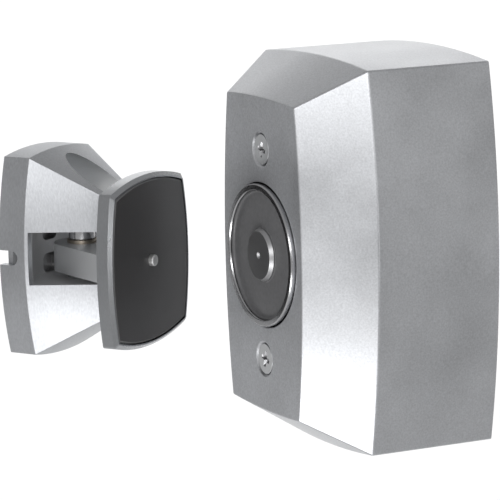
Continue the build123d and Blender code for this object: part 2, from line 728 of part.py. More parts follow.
# The contact plate turns about the pin: swivel is the upright plane through the pin that it faces along
plate_angle = radians(door_angle + swivel_angle)
plate_forward = Vector(cos(plate_angle), sin(plate_angle), 0)
plate_across = Vector(-sin(plate_angle), cos(plate_angle), 0)
swivel = Plane(origin=pivot.from_local_coords(Vector(0, 0, -plate_drop)), x_dir=plate_across,
               z_dir=plate_forward)
arm_floor = Plane(origin=pivot.from_local_coords(Vector(0, 0, arm_foot)), x_dir=plate_forward,
                  z_dir=(0, 0, 1))
carrier_front = carrier_reach + carrier_side + carrier_bevel
recess_width = carrier_width - 2 * (carrier_bevel + plate_recess_margin)
recess_height = carrier_height - 2 * (carrier_bevel + plate_recess_margin)
recess_floor = carrier_front - plate_recess_depth
plate_rear = carrier_front - plate_thickness
carrier_rear = Plane(origin=swivel.offset(carrier_reach).origin, x_dir=-plate_across, z_dir=-plate_forward)
plate_screw_places = [(0, plate_screw_pitch / 2), (0, -plate_screw_pitch / 2)]
pocket_floor = recess_floor - pin_pocket_depth

# Contact carrier: aluminium casting, a bowed square plate with its arm
with BuildPart() as contact_carrier:
    with BuildSketch(swivel.offset(carrier_reach)) as carrier_back:
        add(bowed_rectangle(carrier_width, carrier_height, carrier_side_bow, carrier_end_bow))
        fillet(carrier_back.vertices(), carrier_corner_round)
    extrude(amount=carrier_side)
    with BuildSketch(swivel.offset(carrier_reach + carrier_side)) as bevel_back:
        add(bowed_rectangle(carrier_width, carrier_height, carrier_side_bow, carrier_end_bow))
        fillet(bevel_back.vertices(), carrier_corner_round)
    with BuildSketch(swivel.offset(carrier_front)) as bevel_front:
        add(bowed_rectangle(carrier_width - 2 * carrier_bevel, carrier_height - 2 * carrier_bevel,
                            carrier_side_bow, carrier_end_bow))
        fillet(bevel_front.vertices(), carrier_corner_round)
    loft(ruled=True)
    root_half = (arm_nose_radius + carrier_reach * sin(radians(arm_flare))) / cos(radians(arm_flare))
    nose_back = -arm_nose_radius * sin(radians(arm_flare))
    nose_half = arm_nose_radius * cos(radians(arm_flare))
    with BuildSketch(arm_floor):
        Circle(arm_nose_radius)
        with BuildLine():
            Polyline((nose_back, -nose_half), (carrier_reach, -root_half), (carrier_reach, root_half),
                     (nose_back, nose_half), close=True)
        make_face()
    extrude(amount=arm_height)
    root_edges = contact_carrier.edges().filter_by(
        lambda e: abs(swivel.to_local_coords(e.center()).Z - carrier_reach) < tolerance
        and abs(swivel.to_local_coords(e.center()).Y) < arm_height
        and abs(swivel.to_local_coords(e.center()).X) < root_half + tolerance)
    fillet(root_edges, arm_root_round)
    with BuildSketch(arm_floor):
        Circle(bush_diameter / 2 + running_clearance)
    extrude(amount=arm_height, mode=Mode.SUBTRACT)
    with BuildSketch(swivel.offset(carrier_front)):
        add(bowed_rectangle(recess_width, recess_height, carrier_side_bow, carrier_end_bow))
    extrude(amount=-plate_recess_depth, mode=Mode.SUBTRACT)
    # Pocket for the release pin's spring, and the holes for the plate's screws
    with BuildSketch(swivel.offset(recess_floor)):
        Circle(pin_pocket_diameter / 2)
    extrude(amount=-pin_pocket_depth, mode=Mode.SUBTRACT)
    with BuildSketch(swivel.offset(recess_floor)):
        with Locations(*plate_screw_places):
            Circle(plate_screw_diameter / 2 + slip_clearance)
    extrude(amount=carrier_reach - recess_floor, mode=Mode.SUBTRACT)
contact_carrier.part.label = "contact_carrier"
export_step(contact_carrier.part, "parts/contact_carrier.step")

# Armature plate: soft steel, blackened, its front edge chamfered, level with the carrier's rim
with BuildPart() as armature_plate:
    with BuildSketch(swivel.offset(plate_rear)):
        add(bowed_rectangle(recess_width - 2 * plate_groove, recess_height - 2 * plate_groove,
                            carrier_side_bow, carrier_end_bow))
    extrude(amount=plate_thickness)
    chamfer(armature_plate.edges().filter_by(
        lambda e: abs(swivel.to_local_coords(e.center()).Z - carrier_front) < tolerance), plate_chamfer)
    with BuildSketch(swivel.offset(plate_rear)):
        Circle(pin_diameter / 2 + running_clearance)
    extrude(amount=plate_thickness, mode=Mode.SUBTRACT)
    with BuildSketch(swivel.offset(plate_rear)):
        with Locations(*plate_screw_places):
            Circle(plate_screw_diameter / 2 + running_clearance)
    extrude(amount=plate_screw_bite + face_gap, mode=Mode.SUBTRACT)
armature_plate.part.label = "armature_plate"
export_step(armature_plate.part, "parts/armature_plate.step")

# Cushion: rubber disc behind the armature plate, so that it beds flat on the magnet
with BuildPart() as plate_cushion:
    with BuildSketch(swivel.offset(recess_floor)):
        Circle(cushion_diameter / 2)
        Circle(pin_pocket_diameter / 2, mode=Mode.SUBTRACT)
    extrude(amount=plate_rear - recess_floor)
plate_cushion.part.label = "plate_cushion"
export_step(plate_cushion.part, "parts/plate_cushion.step")

# Plate screws: from the carrier's back into blind holes in the armature plate
for end, (x, y) in zip(("upper", "lower"), plate_screw_places):
    plate_screw = slotted_screw(at(carrier_rear, x, y), plate_screw_diameter,
                                plate_rear - carrier_reach + plate_screw_bite,
                                plate_screw_head, plate_screw_head_height)
    plate_screw.label = f"plate_screw_{end}"
    export_step(plate_screw, f"parts/plate_screw_{end}.step")

# Release pin: sprung steel pin with a domed tip, kept behind the armature plate by its collar
collar_front = plate_rear - face_gap
collar_rear = collar_front - pin_collar_thickness
with BuildPart() as release_pin:
    with BuildSketch(swivel.offset(collar_rear)):
        Circle(pin_diameter / 2)
    extrude(amount=carrier_front + pin_proud - collar_rear)
    fillet(release_pin.edges().filter_by(
        lambda e: swivel.to_local_coords(e.center()).Z > carrier_front), pin_tip_round)
    with BuildSketch(swivel.offset(collar_rear)):
        Circle(pin_collar_diameter / 2)
    extrude(amount=pin_collar_thickness)
release_pin.part.label = "release_pin"
export_step(release_pin.part, "parts/release_pin.step")

# Release spring: coil spring in the arm's pocket, between its floor and the pin's collar
spring_start = swivel.offset(pocket_floor + spring_wire / 2 + face_gap)
spring_height = collar_rear - pocket_floor - spring_wire - 2 * face_gap
with BuildPart() as release_spring:
    with BuildLine() as coil:
        Helix(spring_height / spring_turns, spring_height, spring_coil_diameter / 2,
              center=spring_start.origin, direction=plate_forward)
    with BuildSketch(Plane(origin=coil.line @ 0, z_dir=coil.line % 0)):
        Circle(spring_wire / 2)
    sweep(is_frenet=True)
release_spring.part.label = "release_spring"
export_step(release_spring.part, "parts/release_spring.step")
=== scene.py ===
"""Electromagnetic door holder: a magnet unit for the wall and an armature unit for the door leaf."""

import bmesh
import bpy
import math
import numpy as np
from mathutils import Matrix, Vector
from mathutils.geometry import tessellate_polygon


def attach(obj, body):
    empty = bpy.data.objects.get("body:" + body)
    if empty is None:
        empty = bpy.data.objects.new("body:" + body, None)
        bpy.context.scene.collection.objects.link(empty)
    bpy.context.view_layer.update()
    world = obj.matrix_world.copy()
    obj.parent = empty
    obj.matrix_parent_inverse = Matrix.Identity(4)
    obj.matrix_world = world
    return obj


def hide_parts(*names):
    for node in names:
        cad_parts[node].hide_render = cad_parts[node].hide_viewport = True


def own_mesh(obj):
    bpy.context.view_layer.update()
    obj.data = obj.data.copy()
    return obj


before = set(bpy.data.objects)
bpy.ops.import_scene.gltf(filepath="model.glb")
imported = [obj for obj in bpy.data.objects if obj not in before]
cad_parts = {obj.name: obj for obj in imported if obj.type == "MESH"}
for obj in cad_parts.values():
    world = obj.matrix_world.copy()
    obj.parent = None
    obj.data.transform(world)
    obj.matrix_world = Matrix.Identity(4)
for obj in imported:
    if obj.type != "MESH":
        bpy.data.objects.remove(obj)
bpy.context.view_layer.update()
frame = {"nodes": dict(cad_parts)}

# Camera: where the photograph was taken from, seen from the magnet's centre, a little above it and
# almost level. A long lens, with the holder in the middle of a square frame.
camera_azimuth = math.radians(63.68)
camera_elevation = math.radians(10.25)
camera_roll = math.radians(-1.17)
camera_place = Vector((1.09671, -0.62583, 0.22376))
frame_width = 36.0
focal_ratio = 6.364
camera_back = Vector((math.sin(camera_azimuth) * math.cos(camera_elevation),
                      -math.cos(camera_azimuth) * math.cos(camera_elevation),
                      math.sin(camera_elevation)))
camera_right = Vector((math.cos(camera_azimuth), math.sin(camera_azimuth), 0))
camera_up = camera_back.cross(camera_right)
camera_turn = (Matrix((camera_right, camera_up, camera_back)).transposed()
               @ Matrix.Rotation(camera_roll, 3, "Z"))
camera = bpy.data.objects.new("camera", bpy.data.cameras.new("camera"))
camera.data.sensor_width = frame_width
camera.data.lens = frame_width * focal_ratio
camera.data.clip_start = 0.05
camera.data.clip_end = 20
camera.matrix_world = Matrix.Translation(camera_place) @ camera_turn.to_4x4()
bpy.context.scene.collection.objects.link(camera)
bpy.context.scene.camera = camera
bpy.context.scene.view_settings.view_transform = "Standard"

# Studio: a pale floor well below the holder, which hangs as on its wall and door, and a pale backdrop that
# curves up behind it. Three soft lamps stand on the camera's side, one above, one below and a narrow one to
# the right. A large one over the holder lights the backdrop.
floor_level = -0.9
floor_half = 9.0
backdrop_distance = 3.0
backdrop_curve = 0.8
backdrop_height = 2.6
backdrop_half, backdrop_drop = 1.35, 0.002
paper_tone, paper_roughness = 0.93, 0.9
room_brightness = 0.42
holder_middle = Vector((0, -0.08, 0))
away_from_backdrop = Vector((0.896, -0.443, 0.55))


def floor_surface(count=5):
    """A flat square at the floor's level, as a grid of x and y."""
    reach = np.linspace(-floor_half, floor_half, count)
    x, y = np.meshgrid(reach, reach, indexing="ij")
    return np.stack([x, y, np.full_like(x, floor_level)], axis=-1)


def backdrop_surface(curve_count=24):
    """A quarter circle and then an upright line, carried sideways along a straight line."""
    turn = np.linspace(0, math.pi / 2, curve_count)
    away = np.append(backdrop_distance - backdrop_curve * (1 - np.sin(turn)), backdrop_distance)
    rise = np.append(backdrop_curve * (1 - np.cos(turn)), backdrop_height) + floor_level - backdrop_drop
    side, away = np.meshgrid([-backdrop_half, backdrop_half], away, indexing="ij")
    rise = np.broadcast_to(rise, side.shape)
    level = math.hypot(camera_back.x, camera_back.y)
    ahead_x, ahead_y = -camera_back.x / level, -camera_back.y / level
    return np.stack([away * ahead_x - side * ahead_y, away * ahead_y + side * ahead_x, rise], axis=-1)


def grid_faces(rows, columns, wrap=False):
    """The quads of a grid of points in rows and columns; wrap joins the last column to the first."""
    row, column = np.meshgrid(np.arange(rows - 1), np.arange(columns if wrap else columns - 1), indexing="ij")
    after = (column + 1) % columns
    return np.stack([row * columns + column, row * columns + after,
                     (row + 1) * columns + after, (row + 1) * columns + column], axis=-1).reshape(-1, 4)


def make_piece(name, points, faces):
    """A smooth mesh object from arrays of points and faces, at the origin."""
    mesh = bpy.data.meshes.new(name)
    mesh.from_pydata(points.reshape(-1, 3).tolist(), [], faces.tolist())
    mesh.polygons.foreach_set("use_smooth", np.full(len(mesh.polygons), True))
    mesh.update()
    piece = bpy.data.objects.new(name, mesh)
    bpy.context.scene.collection.objects.link(piece)
    return piece


floor_points = floor_surface()
pale_floor = make_piece("pale_floor", floor_points, grid_faces(*floor_points.shape[:2]))
backdrop_points = backdrop_surface()
backdrop = make_piece("backdrop", backdrop_points, grid_faces(*backdrop_points.shape[:2]))
pale_paper = bpy.data.materials.new("pale_paper")
pale_paper.use_nodes = True
paper_shader = pale_paper.node_tree.nodes["Principled BSDF"]
paper_shader.inputs["Base Color"].default_value = (paper_tone, paper_tone, paper_tone, 1)
paper_shader.inputs["Roughness"].default_value = paper_roughness
for stage_piece in (pale_floor, backdrop):
    stage_piece.data.materials.append(pale_paper)

world = bpy.data.worlds.new("studio")
world.use_nodes = True
world.node_tree.nodes["Background"].inputs["Color"].default_value = (1, 1, 1, 1)
world.node_tree.nodes["Background"].inputs["Strength"].default_value = room_brightness
bpy.context.scene.world = world


def soft_lamp(name, azimuth, elevation, distance, width, height, brightness):
    """An area lamp that faces the holder from a direction in degrees, as bright as it looks from there."""
    round_by, up_by = math.radians(azimuth), math.radians(elevation)
    towards = Vector((math.cos(round_by) * math.cos(up_by),
                      math.sin(round_by) * math.cos(up_by), math.sin(up_by)))
    lamp = bpy.data.objects.new(name, bpy.data.lights.new(name, "AREA"))
    lamp.data.shape = "RECTANGLE"
    lamp.data.size = width
    lamp.data.size_y = height
    lamp.data.energy = math.pi * width * height * brightness
    lamp.location = holder_middle + towards * distance
    lamp.rotation_euler = towards.to_track_quat("Z", "Y").to_euler()
    bpy.context.scene.collection.objects.link(lamp)
    return lamp


soft_lamp("upper_lamp", azimuth=-31, elevation=20, distance=1.5, width=0.7, height=0.4, brightness=6.0)
soft_lamp("lower_lamp", azimuth=-45, elevation=-35, distance=1.0, width=0.45, height=0.34, brightness=6.3)
soft_lamp("side_lamp", azimuth=9, elevation=6, distance=1.4, width=0.1, height=0.9, brightness=3.4)
backdrop_lamp = soft_lamp("backdrop_lamp", azimuth=153.7, elevation=60, distance=2.2,
                          width=1.6, height=1.0, brightness=12.4)
backdrop_lamp.rotation_euler = away_from_backdrop.to_track_quat("Z", "Y").to_euler()

# Housing: one die-cast shell in satin aluminium, sharp-edged and slightly bowed, with four bevels round a
# face that is a little more matt. It has a round opening for the magnet and two countersinks. Two screws
# hold it on the wall.


def math_node(material, operation, *values):
    """One math node. Each value is another node's output or a number."""
    step = material.node_tree.nodes.new("ShaderNodeMath")
    step.operation = operation
    for socket, value in zip(step.inputs, values):
        if isinstance(value, bpy.types.NodeSocket):
            material.node_tree.links.new(value, socket)
        else:
            socket.default_value = value
    return step.outputs[0]


def grained_metal(name, colour, roughness, grain, grain_depth, stretch=(1, 1, 1), mottle=0.06, metallic=1.0,
                  rings=None, bands=None, ring_pitch=0.00025):
    """A surface with fine grain in its height and tone, and faint clouds in its tone and roughness.

    It can also carry turning marks: rings round an axis through the origin, or bands along one."""
    grain_share, clouds_per_metre, gloss_change = 0.6, 35, 0.12
    ring_relief, band_relief, mark_wander = 0.012, 0.3, 1.5
    wave_rate = 20  # A wave texture at scale 1 repeats every 2 pi / 20.
    material = bpy.data.materials.new(name)
    material.use_nodes = True
    nodes = material.node_tree.nodes
    link = material.node_tree.links.new
    shader = nodes["Principled BSDF"]
    shader.inputs["Metallic"].default_value = metallic
    place = nodes.new("ShaderNodeTexCoord")
    align = nodes.new("ShaderNodeMapping")
    align.inputs["Scale"].default_value = stretch
    link(place.outputs["Object"], align.inputs["Vector"])
    fine = nodes.new("ShaderNodeTexNoise")
    fine.inputs["Scale"].default_value = 1 / grain
    fine.inputs["Detail"].default_value = 3
    link(align.outputs["Vector"], fine.inputs["Vector"])
    cloud = nodes.new("ShaderNodeTexNoise")
    cloud.inputs["Scale"].default_value = clouds_per_metre
    cloud.inputs["Detail"].default_value = 4
    link(place.outputs["Object"], cloud.inputs["Vector"])
    tone = nodes.new("ShaderNodeMix")
    tone.data_type = "RGBA"
    tone.inputs["A"].default_value = (*[c * (1 - mottle) for c in colour], 1)
    tone.inputs["B"].default_value = (*[min(1, c * (1 + mottle)) for c in colour], 1)
    cloud_part = math_node(material, "MULTIPLY", cloud.outputs["Fac"], 1 - grain_share)
    blend = math_node(material, "MULTIPLY_ADD", fine.outputs["Fac"], grain_share, cloud_part)
    link(blend, tone.inputs["Factor"])
    link(tone.outputs["Result"], shader.inputs["Base Color"])
    shine = nodes.new("ShaderNodeMapRange")
    shine.inputs["From Min"].default_value = 0.3
    shine.inputs["From Max"].default_value = 0.7
    shine.inputs["To Min"].default_value = roughness * (1 - gloss_change)
    shine.inputs["To Max"].default_value = min(1, roughness * (1 + gloss_change))
    link(cloud.outputs["Fac"], shine.inputs["Value"])
    link(shine.outputs["Result"], shader.inputs["Roughness"])
    bump = nodes.new("ShaderNodeBump")
    bump.inputs["Strength"].default_value = 1
    bump.inputs["Distance"].default_value = grain_depth
    link(fine.outputs["Fac"], bump.inputs["Height"])
    link(bump.outputs["Normal"], shader.inputs["Normal"])
    if rings or bands:
        marks = nodes.new("ShaderNodeTexWave")
        marks.wave_type = "RINGS" if rings else "BANDS"
        marks.rings_direction = rings or "Y"
        marks.bands_direction = bands or "Y"
        marks.inputs["Scale"].default_value = 2 * math.pi / wave_rate / ring_pitch
        marks.inputs["Distortion"].default_value = mark_wander
        link(place.outputs["Object"], marks.inputs["Vector"])
        turning = nodes.new("ShaderNodeBump")
        turning.inputs["Strength"].default_value = 1
        turning.inputs["Distance"].default_value = ring_pitch * (band_relief if bands else ring_relief)
        link(marks.outputs["Fac"], turning.inputs["Height"])
        link(turning.outputs["Normal"], bump.inputs["Normal"])
    return material


def mask_above(material, source, limit):
    """A value of 1 where the source is more than the limit, and 0 elsewhere."""
    return math_node(material, "GREATER_THAN", source, limit)


def reach_along(material, direction):
    """How far each point of the surface lies along a direction: the dot product of the two."""
    measure = material.node_tree.nodes.new("ShaderNodeVectorMath")
    measure.operation = "DOT_PRODUCT"
    place = material.node_tree.nodes.new("ShaderNodeTexCoord")
    material.node_tree.links.new(place.outputs["Object"], measure.inputs[0])
    measure.inputs[1].default_value = direction
    return measure.outputs["Value"]


def roughen_where(material, where, amount):
    """Adds to a finish's roughness where a value is 1."""
    roughness = material.node_tree.nodes["Principled BSDF"].inputs["Roughness"]
    rougher = math_node(material, "MULTIPLY_ADD", where, amount, roughness.links[0].from_socket)
    material.node_tree.links.new(rougher, roughness)


def dress(piece, material):
    """Gives a piece one material and nothing else."""
    piece.data.materials.clear()
    piece.data.materials.append(material)


def finish_piece(piece, material, body, node):
    """Gives a new piece its material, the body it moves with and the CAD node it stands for."""
    dress(piece, material)
    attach(piece, body)
    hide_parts(node)


housing_width, housing_height, housing_depth = 0.086, 0.150, 0.078
housing_side_depth, housing_wall = 0.0533, 0.003
housing_side_bow, housing_end_bow = 0.007, 0.0026
housing_corner, front_corner, inner_corner = 0.0007, 0.0006, 0.0005
front_width, front_height = 0.0574, 0.1224
front_side_bow, front_end_bow = 0.0046, 0.001
back_edge_ease, side_edge_ease, front_edge_ease = 0.0003, 0.0006, 0.0005
inner_edge_ease, boss_ease, edge_break = 0.0005, 0.0004, 0.0002
opening_radius, opening_chamfer = 0.0287, 0.0003
screw_height = 0.04165
sink_radius, sink_hole_radius = 0.00715, 0.00225
boss_radius, boss_length = 0.0085, 0.007
face_margin, bore_margin, bore_ease = 0.003, 0.0003, 0.00015
front_matting, front_skin = 0.2, 0.0002


def bowed_ring(width, height, side_bow, end_bow, corner, side_count=26, corner_count=5):
    """A rectangle whose four edges are circle arcs, x and z, with its corners cut back and joined by curves.

    Each edge is R sin t along and R cos t out, for t from one corner to the next. Each corner is the
    curve (1-t)^2 A + 2t(1-t) P + t^2 B past its point P."""
    edge_start = 1.6
    ends = np.array([[1, -1], [1, 1], [-1, 1], [-1, -1]]) * [width / 2, height / 2]
    bows = (side_bow, end_bow, side_bow, end_bow)
    edges = []
    for start, end, bow in zip(ends, np.roll(ends, -1, axis=0), bows):
        chord = np.linalg.norm(end - start)
        radius = (chord ** 2 / 4 + bow ** 2) / (2 * bow)
        reach = math.asin(chord / 2 / radius)
        inset = corner / chord
        share = np.concatenate([[inset], np.linspace(inset * edge_start, 1 - inset * edge_start, side_count),
                                [1 - inset]])
        angle = (share * 2 - 1) * reach
        along = (end - start) / chord
        out = np.array([along[1], -along[0]])
        middle = (start + end) / 2
        edges.append(middle + np.outer(radius * np.sin(angle), along)
                     + np.outer(radius * np.cos(angle) - radius + bow, out))
    ring = []
    blend = np.linspace(0, 1, corner_count + 2)[1:-1, None]
    for edge, after, tip in zip(edges, edges[1:] + edges[:1], np.roll(ends, -1, axis=0)):
        ring += [edge, (1 - blend) ** 2 * edge[-1] + 2 * blend * (1 - blend) * tip + blend ** 2 * after[0]]
    return np.concatenate(ring)


def on_wall(ring, depth):
    """A ring of x and z, stood off the wall by a depth."""
    return np.column_stack([ring[:, 0], np.full(len(ring), -depth), ring[:, 1]])


def circle_on_wall(radius, depth, z=0.0, count=96):
    """A circle r cos t, r sin t round a height on the wall's middle line, stood off it by a depth."""
    angle = np.linspace(0, 2 * math.pi, count, endpoint=False)
    return on_wall(np.column_stack([radius * np.cos(angle), z + radius * np.sin(angle)]), depth)


def eased_rows(stations, rounds, steps=6, closed=False):
    """Rings joined in order, each turn eased by a curve that starts its own distance before the ring.

    A ring P between A and B gives (1-t)^2 A + 2t(1-t) P + t^2 B, with A and B that far from P, and one
    more row just outside each end of it."""
    guard = 1.4
    stations = [np.asarray(station) for station in stations]
    rows = []
    count = len(stations)
    for i, (here, ease) in enumerate(zip(stations, rounds)):
        if ease == 0:
            rows.append(here[None])
            continue
        before = stations[i - 1] - here
        after = stations[(i + 1) % count] - here
        before = before / np.linalg.norm(before, axis=-1, keepdims=True)
        after = after / np.linalg.norm(after, axis=-1, keepdims=True)
        t = np.linspace(0, 1, steps)[:, None, None]
        curve = ((1 - t) ** 2 * (here + before * ease) + 2 * t * (1 - t) * here
                 + t ** 2 * (here + after * ease))
        rows += [(here + before * ease * guard)[None], curve, (here + after * ease * guard)[None]]
    rows = np.concatenate(rows)
    return np.concatenate([rows, rows[:1]]) if closed else rows


def strip(rows):
    """The points and quads of rows of rings, each ring joined end to end."""
    return rows.reshape(-1, 3), grid_faces(len(rows), rows.shape[1], wrap=True)


def flat_fill(outer, holes):
    """The triangles that fill a flat outline round its holes."""
    loops = [outer, *holes]
    points = np.concatenate(loops)
    return points, np.array(tessellate_polygon([[Vector(point) for point in loop] for loop in loops]))


def join_shell(name, smooth_parts, flat_parts=()):
    """One closed piece from strips and fills: equal points are merged, and faces are turned outwards."""
    points, faces, smooth, count = [], [], [], 0
    for part_list, is_smooth in ((smooth_parts, True), (flat_parts, False)):
        for part_points, part_faces in part_list:
            points.append(part_points)
            faces += (part_faces + count).tolist()
            smooth += [is_smooth] * len(part_faces)
            count += len(part_points)
    mesh = bpy.data.meshes.new(name)
    mesh.from_pydata(np.concatenate(points).tolist(), [], faces)
    mesh.polygons.foreach_set("use_smooth", smooth)
    shape = bmesh.new()
    shape.from_mesh(mesh)
    bmesh.ops.remove_doubles(shape, verts=shape.verts, dist=1e-6)
    bmesh.ops.recalc_face_normals(shape, faces=shape.faces)
    shape.to_mesh(mesh)
    shape.free()
    piece = bpy.data.objects.new(name, mesh)
    bpy.context.scene.collection.objects.link(piece)
    return piece


inner_depth = housing_depth - housing_wall
inner_front = bowed_ring(front_width - housing_wall, front_height - housing_wall,
                         front_side_bow, front_end_bow, inner_corner)
inner_side = bowed_ring(housing_width - 2 * housing_wall, housing_height - 2 * housing_wall,
                        housing_side_bow, housing_end_bow, inner_corner)
outer_side = bowed_ring(housing_width, housing_height, housing_side_bow, housing_end_bow, housing_corner)
outer_front = bowed_ring(front_width, front_height, front_side_bow, front_end_bow, front_corner)
face_inset = bowed_ring(front_width - face_margin, front_height - face_margin,
                        front_side_bow, front_end_bow, front_corner)
shell_rows = eased_rows(
    [on_wall(inner_front, inner_depth), on_wall(inner_side, housing_side_depth), on_wall(inner_side, 0),
     on_wall(outer_side, 0), on_wall(outer_side, housing_side_depth),
     on_wall(outer_front, housing_depth), on_wall(face_inset, housing_depth)],
    (0, inner_edge_ease, edge_break, back_edge_ease, side_edge_ease, front_edge_ease, 0))
opening_rows = eased_rows(
    [circle_on_wall(opening_radius + opening_chamfer + bore_margin, housing_depth),
     circle_on_wall(opening_radius + opening_chamfer, housing_depth),
     circle_on_wall(opening_radius, housing_depth - opening_chamfer),
     circle_on_wall(opening_radius, inner_depth)], (0, bore_ease, bore_ease, 0))
sinks = [eased_rows(
    [circle_on_wall(sink_radius + bore_margin, housing_depth, z),
     circle_on_wall(sink_radius, housing_depth, z),
     circle_on_wall(sink_hole_radius, housing_depth - sink_radius + sink_hole_radius, z),
     circle_on_wall(sink_hole_radius, inner_depth - boss_length, z),
     circle_on_wall(boss_radius, inner_depth - boss_length, z),
     circle_on_wall(boss_radius, inner_depth, z)], (0, bore_ease, edge_break, edge_break, boss_ease, 0))
    for z in (screw_height, -screw_height)]
housing_shell = join_shell(
    "housing_shell", [strip(shell_rows), strip(opening_rows)] + [strip(rows) for rows in sinks],
    [flat_fill(shell_rows[-1], [opening_rows[0]] + [rows[0] for rows in sinks]),
     flat_fill(shell_rows[0], [opening_rows[-1]] + [rows[-1] for rows in sinks])])
satin_aluminium = grained_metal("satin_aluminium", (0.58, 0.59, 0.61), 0.38, 0.0007, 0.000022, mottle=0.42)
on_front = mask_above(satin_aluminium, reach_along(satin_aluminium, (0, -1, 0)), housing_depth - front_skin)
roughen_where(satin_aluminium, on_front, front_matting)
finish_piece(housing_shell, satin_aluminium, "holder", "housing")

# Magnet cup, core and resin: the pot and the centre pole are turned from steel and stand a little out of
# the housing's face. Their chamfered edges are bright. Dark resin fills the ring between them, and it
# climbs the steel a little where it set. A lathe centre left its hole in the middle of the pole.
magnet_radius, magnet_depth, magnet_front = 0.0282, 0.0458, 0.0798
cup_inner_radius, cup_back, cup_bore = 0.0255, 0.005, 0.00415
rim_chamfer, rim_chamfer_depth, rim_ease = 0.00036, 0.0006, 0.00012
pot_ease, pot_back_ease, pilot_ease = 0.0003, 0.0005, 0.0001
core_radius, core_face_radius, core_cone_depth = 0.0105, 0.0096, 0.00155
centre_hole_radius, centre_pilot_radius, centre_hole_depth = 0.0014, 0.0005, 0.004
centre_half_angle = math.radians(30)
resin_depth, resin_thickness, resin_gap = 0.0775, 0.0018, 0.00005
resin_climb, resin_core_climb, resin_sweep = 0.0012, 0.0004, 0.00114
wall_middle, out_of_wall = (0, 0, 0), (0, -1, 0)


def turned(name, place, axis, profile, eases, count=96, closed=True):
    """A solid of revolution: each profile point is a distance along the axis and a radius r, and it is
    carried round the axis on r cos t, r sin t."""
    axis = np.array(axis, dtype=float)
    aside = np.cross(axis, (0, 1, 0) if abs(axis[2]) > 0.9 else (0, 0, 1))
    angle = np.linspace(0, 2 * math.pi, count, endpoint=False)[:, None]
    spoke = np.cos(angle) * aside + np.sin(angle) * np.cross(axis, aside)
    rings = [np.array(place) + along * axis + radius * spoke for along, radius in profile]
    return join_shell(name, [strip(eased_rows(rings, eases, closed=closed))])


coil_back = magnet_depth + cup_back
magnet_pot = turned(
    "magnet_pot", wall_middle, out_of_wall,
    [(magnet_depth, cup_bore), (magnet_depth, magnet_radius),
     (magnet_front - rim_chamfer_depth, magnet_radius), (magnet_front, magnet_radius - rim_chamfer),
     (magnet_front, cup_inner_radius + rim_chamfer), (magnet_front - rim_chamfer_depth, cup_inner_radius),
     (coil_back, cup_inner_radius), (coil_back, cup_bore)],
    (pot_ease, pot_back_ease, rim_ease, rim_ease, rim_ease, rim_ease, pot_ease, pot_ease), count=128)
centre_cone = (centre_hole_radius - centre_pilot_radius) / math.tan(centre_half_angle)
centre_pole = turned(
    "centre_pole", wall_middle, out_of_wall,
    [(coil_back, 0), (coil_back, core_radius), (magnet_front - core_cone_depth, core_radius),
     (magnet_front, core_face_radius), (magnet_front, centre_hole_radius),
     (magnet_front - centre_cone, centre_pilot_radius),
     (magnet_front - centre_hole_depth, centre_pilot_radius), (magnet_front - centre_hole_depth, 0)],
    (0, pot_ease, rim_ease, rim_ease, edge_break, pilot_ease, pilot_ease, 0), closed=False)
resin_back, resin_top = resin_depth - resin_thickness, resin_depth + resin_climb
resin_inner, resin_outer = core_radius + resin_gap, cup_inner_radius - resin_gap
resin_ring = turned(
    "resin_ring", wall_middle, out_of_wall,
    [(resin_back, resin_inner), (resin_back, resin_outer), (resin_top, resin_outer),
     (resin_top, resin_outer - resin_gap), (resin_depth, resin_outer - 3 * resin_gap),
     (resin_depth, resin_inner + resin_gap), (resin_depth + resin_core_climb, resin_inner)],
    (edge_break, edge_break, 0, 0, resin_sweep, resin_core_climb, 0))
cup_steel = grained_metal("cup_steel", (0.46, 0.46, 0.47), 0.22, 0.0006, 0.000004,
                          rings="Y", ring_pitch=0.0002)
core_steel = grained_metal("core_steel", (0.46, 0.46, 0.47), 0.42, 0.0006, 0.000006,
                           rings="Y", ring_pitch=0.00025)
potting_resin = grained_metal("potting_resin", (0.155, 0.155, 0.16), 0.36, 0.0012, 0.00003,
                              mottle=0.4, metallic=0.0)
finish_piece(magnet_pot, cup_steel, "holder", "magnet_cup")
finish_piece(centre_pole, core_steel, "holder", "magnet_core")
finish_piece(resin_ring, potting_resin, "holder", "potting_ring")

# Cover screws: nickel-plated flat heads with a cross recess that narrows to its floor. The recess and the
# rounded rim of the head are painted darker as shade.
# They lie a little below the housing's face, in its countersinks, and are driven into the two posts.
head_face, head_cone_top = 0.07755, 0.07695
head_radius, head_flat_share, shank_radius, shank_length = 0.00605, 0.94, 0.0021, 0.02
cone_ease, tip_ease, tip_radius = 0.0001, 0.0004, 0.00001
recess_span, recess_slot, recess_depth = 0.0064, 0.0016, 0.0022
recess_floor_share, recess_wall_share = 0.55, 0.85
recess_lip, recess_lip_depth, recess_ease, point_share = 0.0002, 0.00015, 0.0003, 0.001
recess_turns = {"upper": math.radians(-12), "lower": math.radians(-15)}
recess_painted_shade = (0.3, 0.3, 0.31)


def cross_outline(span, slot, turn, ease, steps=4):
    """The outline of two crossed slots: twelve corners, each eased by (1-t)^2 A + 2t(1-t) P + t^2 B."""
    s, w = span / 2, slot / 2
    corners = np.array([[s, -w], [s, w], [w, w], [w, s], [-w, s], [-w, w],
                        [-s, w], [-s, -w], [-w, -w], [-w, -s], [w, -s], [w, -w]])
    before, after = np.roll(corners, 1, axis=0) - corners, np.roll(corners, -1, axis=0) - corners
    before = corners + before / np.linalg.norm(before, axis=1, keepdims=True) * ease
    after = corners + after / np.linalg.norm(after, axis=1, keepdims=True) * ease
    t = np.linspace(0, 1, steps)[:, None]
    ring = np.concatenate([(1 - t) ** 2 * a + 2 * t * (1 - t) * p + t ** 2 * b
                           for a, p, b in zip(before, corners, after)])
    return ring @ np.array([[math.cos(turn), math.sin(turn)], [-math.sin(turn), math.cos(turn)]])


